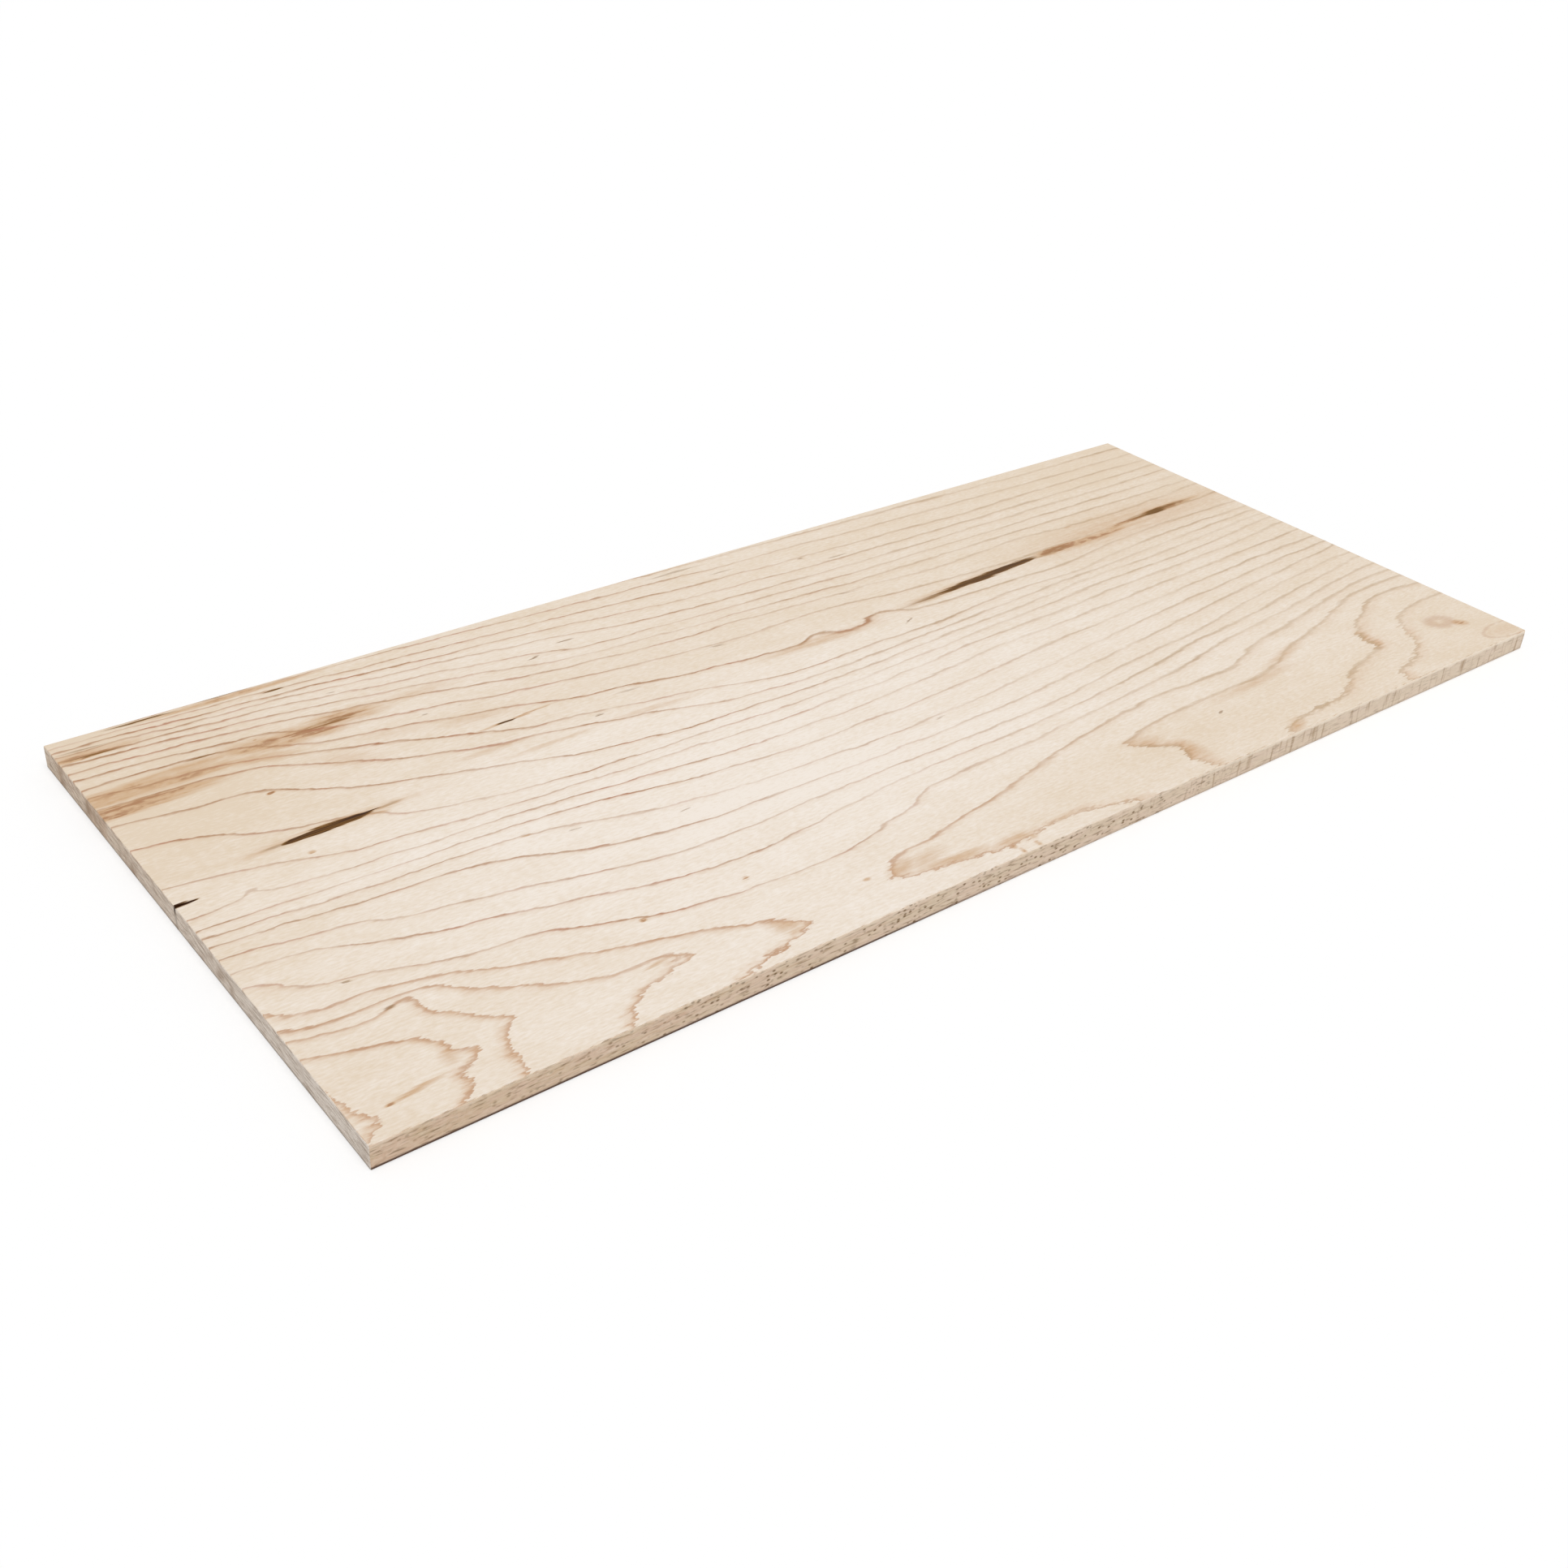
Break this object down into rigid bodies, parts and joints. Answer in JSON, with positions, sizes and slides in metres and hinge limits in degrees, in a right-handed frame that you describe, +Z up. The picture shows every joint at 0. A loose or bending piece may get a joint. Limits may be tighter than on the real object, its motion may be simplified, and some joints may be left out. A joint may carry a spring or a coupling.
{
  "type": "thin sawn board",
  "caption": "Thin flat board of plain-sawn hardwood with square-cut ends, planed faces and a short drying crack in one end; raw stock for panels, small boxes and inlay work.",
  "frame": {"origin": "middle of the underside, on the surface that the board lies on", "axes": "+X along the grain towards the right end, +Y across the width towards the back edge, +Z up out of the upper face"},
  "size_m": [0.305, 0.137, 0.005],
  "materials": {
    "maple": "planed and lightly sanded, with no coating"
  },
  "bodies": {
    "root": {"board": "maple"}
  },
  "joints": []
}
